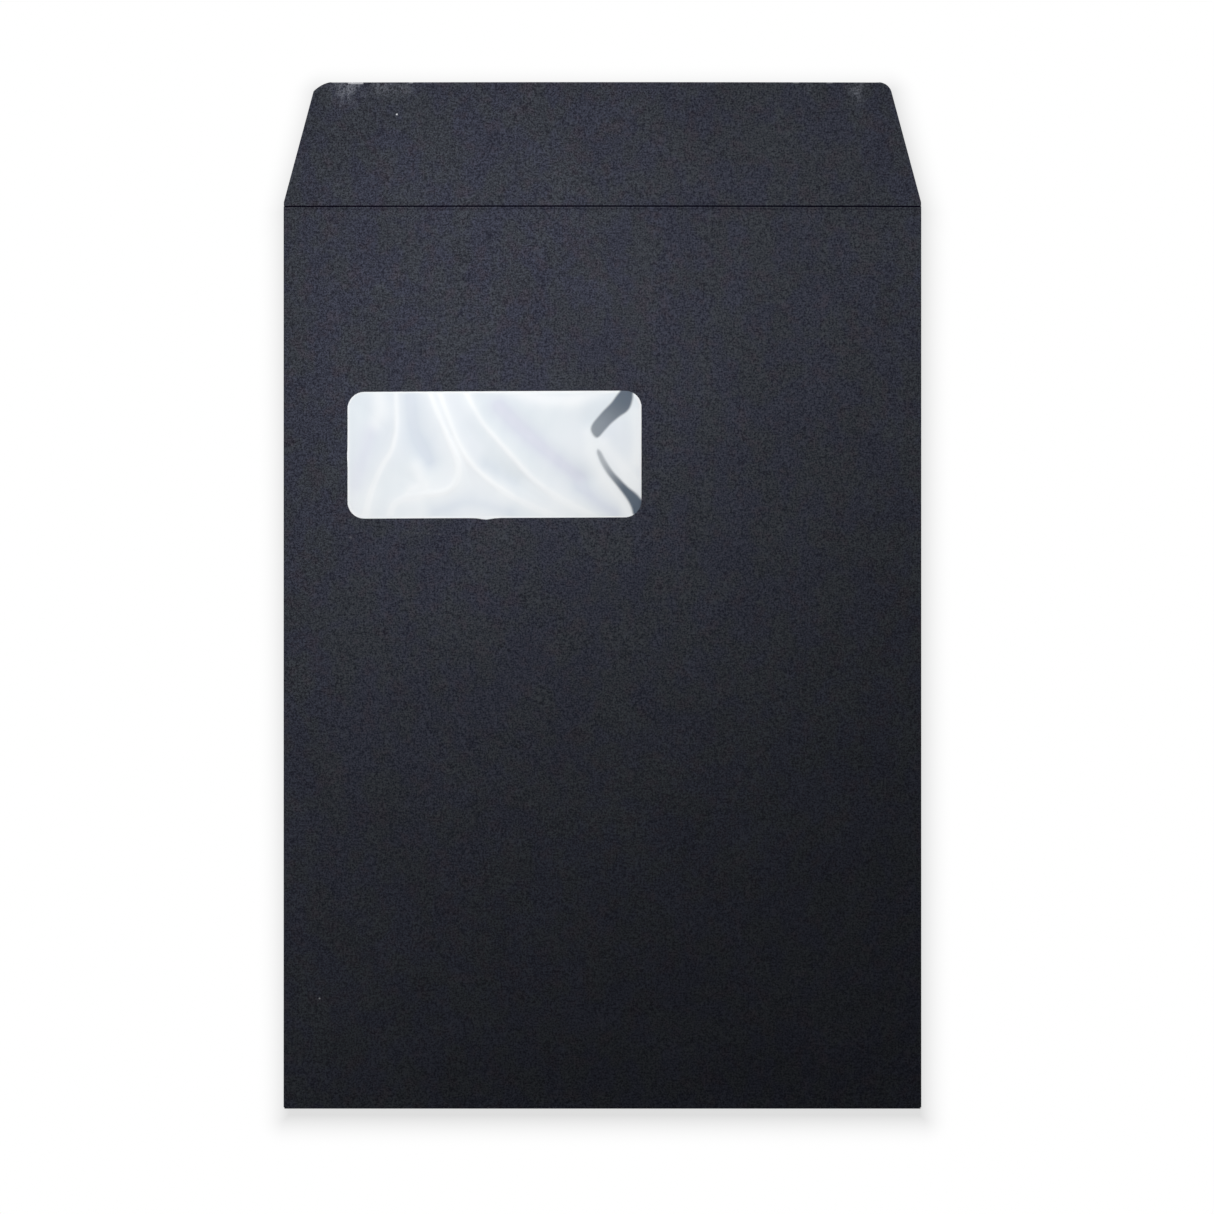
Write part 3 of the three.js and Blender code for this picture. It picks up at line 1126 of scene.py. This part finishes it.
@dataclass(frozen=True)
class PaperSheet:
    """The envelope's folded sheet: cut from a flat blank, folded, and given its thickness."""

    fold: FoldPlan
    window: WindowPlan
    cell: float = 2.5 * MM
    fold_steps: int = 8
    corner_steps: int = 8

    def build(self) -> Piece:
        """Model the sheet.

        Returns:
            The finished sheet's object.
        """
        fold = self.fold
        low, high = (-fold.blank_half, fold.blank_bottom), (fold.blank_half, fold.opened_length)
        sheet = flat_grid("paper_sheet", low, high, self.cell)
        with EditMode(sheet) as edit:
            self.cut_fold_lines(edit)
            edit.select_faces(self.is_waste)
            edit.delete_selected()
            self.round_window_corners(edit)
        self.fold_up(sheet)
        apply_modifier(sheet, "SOLIDIFY", thickness=fold.paper, offset=0.0)
        self.press_score(sheet)
        smooth_by_angle(sheet, math.radians(50))
        return sheet

    def cut_fold_lines(self, edit: EditMode) -> None:
        """Cut the blank's faces along every fold, joggle, score and window line.

        Args:
            edit: The blank in edit mode.
        """
        fold, window = self.fold, self.window
        ends = np.linspace(0.0, fold.fold_length, self.fold_steps + 1)
        columns = [sign * (fold.fold_x + end) for sign in (-1, 1) for end in ends]
        step_up = fold.seam_overlap / 2 + fold.joggle_clearance
        joggle = np.linspace(step_up, step_up + fold.joggle, 5)
        columns += [-(2 * fold.fold_x + fold.fold_length - place) for place in joggle]
        columns += [window.left, window.left + window.corner, window.right - window.corner, window.right]
        kink, _, reach, _, _ = window.edge_dents[0]
        columns += [(kink + reach * share) * MM for share in (-1.2, -0.6, 0.0, 0.6, 1.2)]
        bottom_end = fold.bottom_start - fold.bottom_length
        bottom = np.linspace(bottom_end, fold.bottom_start, 2 * self.fold_steps + 1)
        score = [fold.pocket_height + side * fold.score_width / 2 for side in (-1, 0, 1)]
        score.append(fold.pocket_height + fold.flap_shoulder)
        angles = np.linspace(fold.flap_taper, math.pi / 2, self.corner_steps + 1)[:-1]
        corner = [fold.opened_length - fold.flap_corner * (1 - math.sin(angle)) for angle in angles]
        worn = [fold.opened_length - fold.worn_up * share for share in (1.0, 0.005)]
        rows = [*bottom, fold.side_start, *fold.lift_rows, *score, *corner, *worn]
        rows += [window.bottom, window.bottom + window.corner, window.top - window.corner, window.top]
        cuts = [((column, 0.0), (1.0, 0.0)) for column in columns]
        cuts += [((0.0, row), (0.0, 1.0)) for row in rows]
        for through, normal in cuts:
            bpy.ops.mesh.select_all(action="SELECT")
            edit.cut(through, normal)

    def is_waste(self, u: float, v: float) -> bool:
        """Tell whether a face of the flat grid falls outside the die-cut blank."""
        fold = self.fold
        return abs(u) > fold.fold_x and not fold.side_start < v < fold.pocket_height

    def round_window_corners(self, edit: EditMode) -> None:
        """Cut the window's round corners as short straight cuts, and take out what they leave inside.

        Args:
            edit: The blank in edit mode.
        """
        window = self.window
        radius = window.corner
        steps = np.linspace(0.0, math.pi / 2, self.corner_steps + 1)
        for centre_u, side_u in ((window.left + radius, -1), (window.right - radius, 1)):
            for centre_v, side_v in ((window.bottom + radius, -1), (window.top - radius, 1)):

                def in_corner(u: float, v: float) -> bool:
                    """Tell whether a face lies in this corner's square."""
                    return 0 < (u - centre_u) * side_u < radius and 0 < (v - centre_v) * side_v < radius

                for first, second in zip(steps[:-1], steps[1:]):
                    middle = (first + second) / 2
                    out = (side_u * math.cos(middle), side_v * math.sin(middle))
                    reach = radius * math.cos((second - first) / 2)
                    edit.select_faces(in_corner)
                    edit.cut((centre_u + out[0] * reach, centre_v + out[1] * reach), out)
        edit.select_faces(lambda u, v: window.depth_inside(np.array(u), np.array(v)) > 0)
        edit.delete_selected()

    def fold_up(self, sheet: Piece) -> None:
        """Move the flat blank's points to their folded places, with the paper's soft relief.

        Args:
            sheet: The flat blank.
        """
        points = read_points(sheet)
        u, v = self.window.unsettle(points[:, 0], points[:, 1])
        x, y, z = self.fold.place(u, v)
        front = (v > self.fold.bottom_start) & (np.abs(u) <= self.fold.fold_x)
        z = z + np.where(front, self.fold.soft_relief(x, v), 0.0)
        write_points(sheet, np.column_stack([x, self.fold.to_frame(y), z]))

    def press_score(self, sheet: Piece) -> None:
        """Press the scored groove into the outer face along the crease.

        Args:
            sheet: The folded sheet.
        """
        points = read_points(sheet)
        x, v, z = points[:, 0], points[:, 1] + self.fold.opened_length / 2, points[:, 2]
        from_crease = np.abs(v - self.fold.pocket_height)
        outer = z > self.fold.arch_height(x, v)
        depth = self.fold.score_depth * np.clip(1 - from_crease / (self.fold.score_width / 2), 0.0, 1.0)
        points[:, 2] = z - np.where(outer, depth, 0.0)
        write_points(sheet, points)


@dataclass(frozen=True)
class FilmPatch:
    """The window's film: taut at its glued border, slack and creased in the opening.

    Curves are millimetres across from the window's left edge and down from its top edge. Each adds
    bumps to the film's height and to the tone of its painted sheen, given by their height and width.
    """

    fold: FoldPlan
    window: WindowPlan
    cell: float = 0.45 * MM
    film: float = 0.05 * MM
    seat_gap: float = 0.06 * MM
    sag: float = 0.6 * MM
    taut_band: float = 16.0 * MM
    # Painted highlight just inside the window's edge: its place and width.
    rim_inside: float = 0.25 * MM
    rim_width: float = 0.35 * MM
    sharp_rise: tuple[Point, ...] = ((0.30, 3.4), (0.17, 1.1))
    soft_rise: tuple[Point, ...] = ((0.34, 4.0),)
    groove_fall: tuple[Point, ...] = ((0.3, 4.5),)
    # Painted sheen: its plain tone, its gain towards the window's lower edge, and what each curve adds
    # or takes away.
    plain_tone: float = 0.42
    lower_gain: float = 0.30
    lower_band: Point = (8.0, 45.0)
    sharp_tone: tuple[Point, ...] = ((0.18, 2.6), (0.36, 0.9))
    soft_tone: tuple[Point, ...] = ((0.40, 2.9),)
    groove_tone: tuple[Point, ...] = ((0.40, 4.0), (0.16, 1.8))
    violet_width: float = 4.0
    sharp_ridges: tuple[Curve, ...] = (
        ((17.4, -2.0), (17.6, 10.0), (17.0, 17.0), (15.1, 22.5), (12.3, 27.0), (8.5, 36.0), (5.6, 48.0)),
        ((28.6, -2.0), (31.3, 5.3), (36.4, 17.7), (39.0, 23.6), (39.8, 28.0), (39.3, 31.6), (37.2, 34.6),
         (33.5, 36.5), (27.6, 37.2), (22.5, 37.9), (18.8, 39.1), (16.2, 41.5), (14.2, 48.0)),
        ((32.1, -2.0), (35.3, 6.7), (37.4, 12.6), (39.8, 18.4), (42.6, 23.6), (46.7, 28.3), (53.3, 33.8),
         (59.9, 38.2), (67.3, 41.9), (80.0, 47.6)),
        ((41.2, -2.0), (45.8, 6.7), (48.9, 11.9), (54.0, 17.7), (59.2, 23.6), (64.3, 29.4), (70.2, 34.6),
         (76.8, 38.9), (92.0, 47.0)),
    )
    soft_ridges: tuple[Curve, ...] = (
        ((87.3, 15.0), (88.1, 22.0), (90.0, 26.5), (92.2, 30.2), (95.0, 33.8), (97.6, 37.2),
         (100.4, 43.0)),
        ((58.0, -1.5), (66.0, 1.6), (74.0, 3.2), (84.0, 2.6), (93.0, -2.0)),
        ((10.5, -2.0), (12.0, 6.0), (10.0, 12.0)),
        ((25.0, 27.0), (27.0, 33.0), (24.0, 36.0)),
        ((92.0, 19.0), (98.0, 27.0), (103.0, 33.0)),
        ((103.5, 8.0), (104.5, 16.0), (104.5, 25.0)),
    )
    grooves: tuple[Curve, ...] = (
        ((54.5, 5.5), (61.4, 12.6), (72.4, 22.4), (83.4, 31.0)),
        ((22.5, 2.0), (24.0, 14.0), (29.5, 25.0)),
        ((3.0, 34.0), (8.5, 14.0)),
        ((50.0, 26.5), (59.5, 32.5)),
        ((32.0, 43.5), (44.0, 40.0), (58.0, 43.5)),
        ((84.0, 34.5), (90.0, 40.0), (96.0, 43.5)),
    )
    groove_depths: tuple[float, ...] = (1.15, 1.0, 0.45, 0.7, 0.8, 1.2)
    groove_violets: tuple[float, ...] = (0.9, 0.4, 0.7, 0.2, 0.3, 0.6)
    # Outlines of the patches painted dark where the film mirrors nothing, and made clearer.
    upper_clear: Curve = (
        (97.6, 0.2), (96.6, 1.5), (94.6, 4.2), (92.0, 6.8), (89.7, 9.4), (87.9, 11.7), (87.3, 13.7),
        (88.0, 15.5), (89.3, 16.7), (90.5, 16.2), (92.3, 14.2), (94.6, 11.7), (97.6, 9.2), (100.2, 7.4),
        (101.5, 5.6), (102.2, 3.4), (102.5, 1.1), (102.2, -1.2), (99.8, -2.0), (98.4, -1.0),
    )
    lower_clear: Curve = (
        (89.8, 20.8), (91.0, 21.8), (92.6, 24.7), (95.0, 28.4), (97.6, 31.3), (100.6, 34.3),
        (103.2, 36.4), (104.8, 38.0), (106.2, 39.9), (105.6, 42.6), (104.0, 44.4), (102.6, 44.4),
        (101.9, 41.9), (100.6, 39.3), (98.2, 35.9), (95.6, 32.6), (93.0, 29.3), (91.0, 26.0),
        (89.9, 23.4), (89.5, 21.8),
    )
    upper_tip: Point = (88.6, 14.6)
    lower_tip: Point = (90.2, 22.0)
    upper_faint: float = 0.76
    lower_faint: float = 0.55
    tip_fade: Point = (2.0, 17.0)
    clear_edge: Point = (-0.45, 0.55)

    def build(self) -> Piece:
        """Model the film.

        Returns:
            The finished film's object.
        """
        window, margin = self.window, self.window.film_margin
        low = (window.left - margin, window.bottom - margin)
        high = (window.right + margin, window.top + margin)
        patch = flat_grid("film_patch", low, high, self.cell)
        points = read_points(patch)
        x, v = points[:, 0], points[:, 1]
        across, down = (x - window.left) / MM, (window.top - v) / MM
        inside = window.depth_inside(x, v)
        slack = smoothstep(inside, 0.0, self.taut_band)
        depth = self.fold.paper / 2 + self.seat_gap + self.film / 2
        rise = self.folds(across, down) * MM
        paper_z = self.fold.arch_height(x, v) + self.fold.soft_relief(x, v)
        z = paper_z - depth - slack * np.maximum(self.sag - rise, 0.0)
        write_points(patch, np.column_stack([x, self.fold.to_frame(v), z]))
        # Painted highlight: a thin bright line just inside the window's cut edge, added to the painted
        # sheen.
        rim = bell(inside - self.rim_inside, self.rim_width)
        write_tone(patch, "painted_highlight", np.clip(self.tones(across, down) + rim, 0.0, 1.0))
        write_tone(patch, "clear", self.clear(across, down))
        write_tone(patch, "violet", self.violet(across, down))
        apply_modifier(patch, "SOLIDIFY", thickness=self.film, offset=0.0)
        smooth_by_angle(patch, math.radians(60))
        return patch

    def folds(self, across: Array, down: Array) -> Array:
        """Height of the film's folds over its slack, in millimetres.

        Args:
            across: Millimetres from the window's left edge.
            down: Millimetres from its top edge.

        Returns:
            The height at each point.
        """
        height = np.zeros(across.shape)
        for away in away_from_curves(across, down, self.sharp_ridges):
            height = np.maximum(height, bells(away, self.sharp_rise))
        for away in away_from_curves(across, down, self.soft_ridges):
            height = np.maximum(height, bells(away, self.soft_rise))
        for away in away_from_curves(across, down, self.grooves):
            height -= bells(away, self.groove_fall)
        return height

    def tones(self, across: Array, down: Array) -> Array:
        """How bright the film's painted sheen is, from the folds' dull flanks to the painted highlights
        on their crests.

        Args:
            across: Millimetres from the window's left edge.
            down: Millimetres from its top edge.

        Returns:
            The tone at each point.
        """
        tone = np.full(across.shape, self.plain_tone)
        for away in away_from_curves(across, down, self.sharp_ridges):
            tone += bells(away, self.sharp_tone)
        for away in away_from_curves(across, down, self.soft_ridges):
            tone += bells(away, self.soft_tone)
        for weight, away in zip(self.groove_depths, away_from_curves(across, down, self.grooves)):
            tone -= weight * bells(away, self.groove_tone)
        return tone + self.lower_gain * smoothstep(down, *self.lower_band)

    def violet(self, across: Array, down: Array) -> Array:
        """Where the painted sheen turns violet: along the grooves, most of all in the longest.

        Args:
            across: Millimetres from the window's left edge.
            down: Millimetres from its top edge.

        Returns:
            The share of violet at each point.
        """
        share = np.zeros(across.shape)
        for weight, away in zip(self.groove_violets, away_from_curves(across, down, self.grooves)):
            share = np.maximum(share, weight * bell(away, self.violet_width))
        return share

    def clear(self, across: Array, down: Array) -> Array:
        """Where the film mirrors nothing: painted dark for the inside and made clearer, fainter at the
        tips.

        Args:
            across: Millimetres from the window's left edge.
            down: Millimetres from its top edge.

        Returns:
            How clear the film is, and how dark it is painted, at each point.
        """
        mask = np.zeros(across.shape)
        for outline, tip, faint in (
            (self.upper_clear, self.upper_tip, self.upper_faint),
            (self.lower_clear, self.lower_tip, self.lower_faint),
        ):
            closed = smooth_path(outline, closed=True, per_span=4)
            away = distance_to_path(across, down, closed)
            signed = np.where(inside_outline(across, down, closed[:-1]), away, -away)
            from_tip = np.hypot(across - tip[0], down - tip[1])
            depth = faint + (1 - faint) * smoothstep(from_tip, *self.tip_fade)
            mask = np.maximum(mask, depth * smoothstep(signed, *self.clear_edge))
        return mask


class Softbox(Enum):
    """The studio's lamps: place, aim, size in metres and power in watts."""

    KEY = ((-0.07, 0.124, 0.18), (-0.07, 0.124, 0.0), 0.24, 0.435)
    SIDE = ((0.23, 0.168, 0.15), (0.10, 0.13, 0.0), 0.15, 0.226)
    FILL = ((-0.275, -0.084, 0.15), (-0.10, -0.15, 0.0), 0.15, 0.164)


@dataclass(frozen=True)
class Studio:
    """White floor, soft light and the camera straight above."""

    fold: FoldPlan
    image_px: float = 1214.0
    scale_px_per_mm: float = 2.7845
    body_centre_px: float = 602.45
    bottom_edge_px: float = 1108.65
    camera_height: float = 8.0
    floor_half: float = 3.0
    world_strength: float = 0.03
    floor_gap: float = 0.02 * MM
    floor_grey: Quad = (0.8, 0.8, 0.8, 1.0)
    # A shadow painted on the floor round the envelope: its shift, reach, depth and cap.
    shadow_shift: Point = (0.75 * MM, -3.6 * MM)
    shadow_reach: float = 10.7 * MM
    shadow_depth: float = 0.216
    shadow_cap: float = 1.12

    def build(self) -> None:
        """Set up the camera, the floor, the lamps and the world."""
        self.place_camera()
        self.lay_floor()
        for lamp in Softbox:
            self.hang(lamp)
        self.light_world()
        bpy.context.scene.view_settings.view_transform = "Standard"

    def place_camera(self) -> None:
        """Look straight down with the photograph's framing."""
        half_image = self.image_px / 2
        x = (half_image - self.body_centre_px) / self.scale_px_per_mm * MM
        above_bottom = (self.bottom_edge_px - half_image) / self.scale_px_per_mm * MM
        data = bpy.data.cameras.new("camera")
        camera = add_to_scene("camera", data)
        camera.location = (x, self.fold.to_frame(above_bottom), self.camera_height)
        data.sensor_fit = "HORIZONTAL"
        seen = self.image_px / self.scale_px_per_mm * MM
        data.lens = data.sensor_width * self.camera_height / seen
        data.clip_end = 2 * self.camera_height + self.floor_half
        bpy.context.scene.camera = camera

    def lay_floor(self) -> None:
        """Lay the white floor with a soft shadow painted round the envelope."""
        deselect_everything()
        bpy.ops.mesh.primitive_plane_add(size=2 * self.floor_half, location=(0.0, 0.0, 0.0))
        floor = bpy.context.object
        floor.name = "floor"
        with EditMode(floor):
            bpy.ops.transform.translate(value=(0.0, 0.0, -self.floor_gap))
        set_material(floor, self.floor_material())

    def floor_material(self) -> bpy.types.Material:
        """White floor: a plain matt face, lifted to white for the camera, with a shadow painted round
        the envelope.

        Returns:
            The new material.
        """
        finish = Finish("floor")
        fold = self.fold
        x, y = finish.x - self.shadow_shift[0], finish.y - self.shadow_shift[1]
        heights = (0.0, fold.pocket_height, fold.opened_length)
        bottom, crease, top = (fold.to_frame(v) for v in heights)
        beside = abs(x) - fold.width / 2
        above, below = y - crease, bottom - y
        body = self.past_corner(beside, above.most(below))
        narrowed = (above - fold.flap_shoulder).most(0.0) * math.tan(fold.flap_taper)
        slant = (beside + narrowed) * math.cos(fold.flap_taper)
        away = body.least(self.past_corner(slant, y - top).most(0.0 - above))
        # Painted shadow: the floor darkens nearer the envelope's outline, shifted right and down.
        painted_shadow_nearness = (1 - away / self.shadow_reach).most(0.0).least(self.shadow_cap)
        white = finish.grey(1 - (painted_shadow_nearness ** 2.0) * self.shadow_depth)
        matt = finish.node("ShaderNodeBsdfDiffuse", {}, {"Color": self.floor_grey})
        shown_with_painted_shadow = finish.node("ShaderNodeEmission", {}, {"Color": white, "Strength": 1.0})
        finish.either(finish.seen_plainly(), matt, shown_with_painted_shadow, "ShaderNodeOutputMaterial")
        return finish.material

    def past_corner(self, across: Number, up: Number) -> Number:
        """Distance out of a square corner, from the distances past its two sides."""
        return (across.most(0.0) ** 2.0 + up.most(0.0) ** 2.0) ** 0.5 + across.most(up).least(0.0)

    def hang(self, lamp: Softbox) -> None:
        """Hang one softbox and aim it.

        Args:
            lamp: One of the studio's lamps.
        """
        place, aim, size, power = lamp.value
        data = bpy.data.lights.new(lamp.name.lower(), "AREA")
        data.shape = "DISK"
        data.size = size
        data.energy = power
        light = add_to_scene(lamp.name.lower(), data)
        light.location = place
        direction = Vector(aim) - Vector(place)
        light.rotation_euler = direction.to_track_quat("-Z", "Y").to_euler()
        light.visible_camera = False

    def light_world(self) -> None:
        """Even soft light from all round, white where it is seen or mirrored."""
        world = bpy.data.worlds.new("studio")
        bpy.context.scene.world = world
        room = Nodes(world)
        white = (1.0, 1.0, 1.0, 1.0)
        dim, plain = (
            room.node("ShaderNodeBackground", {}, {"Color": white, "Strength": strength})
            for strength in (self.world_strength, 1.0)
        )
        room.either(room.seen_plainly(), dim, plain, "ShaderNodeOutputWorld")


def main() -> None:
    """Build the studio, model the paper sheet and the film and hang them on the frame, and dress the
    seal strip and its release paper.
    """
    logging.basicConfig(level=logging.INFO, format="%(message)s")
    low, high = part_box("envelope_sheet")
    fold = FoldPlan(width=high.x - low.x, opened_length=high.y - low.y)
    window = WindowPlan(fold)
    Studio(fold).build()
    LOG.info("studio set up")

    sheet = PaperSheet(fold, window).build()
    set_material(sheet, BlackPaper(fold, window).material())
    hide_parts("envelope_sheet")
    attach(sheet, "root")
    LOG.info("paper sheet: %d faces", len(sheet.data.polygons))

    film = FilmPatch(fold, window).build()
    set_material(film, WindowFilm().material())
    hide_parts("window_film")
    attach(film, "root")
    LOG.info("window film: %d faces", len(film.data.polygons))

    adhesive = PlainCoat("adhesive", (0.62, 0.58, 0.46), (0.5, 0.46, 0.36), 0.35, 700.0)
    set_material(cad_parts["adhesive_strip"], adhesive.material())
    liner = PlainCoat("release_paper", (0.82, 0.80, 0.75), (0.74, 0.72, 0.66), 0.42, 500.0)
    set_material(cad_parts["release_liner"], liner.material())
    LOG.info("seal strip and its release paper dressed")


if __name__ == "__main__":
    main()
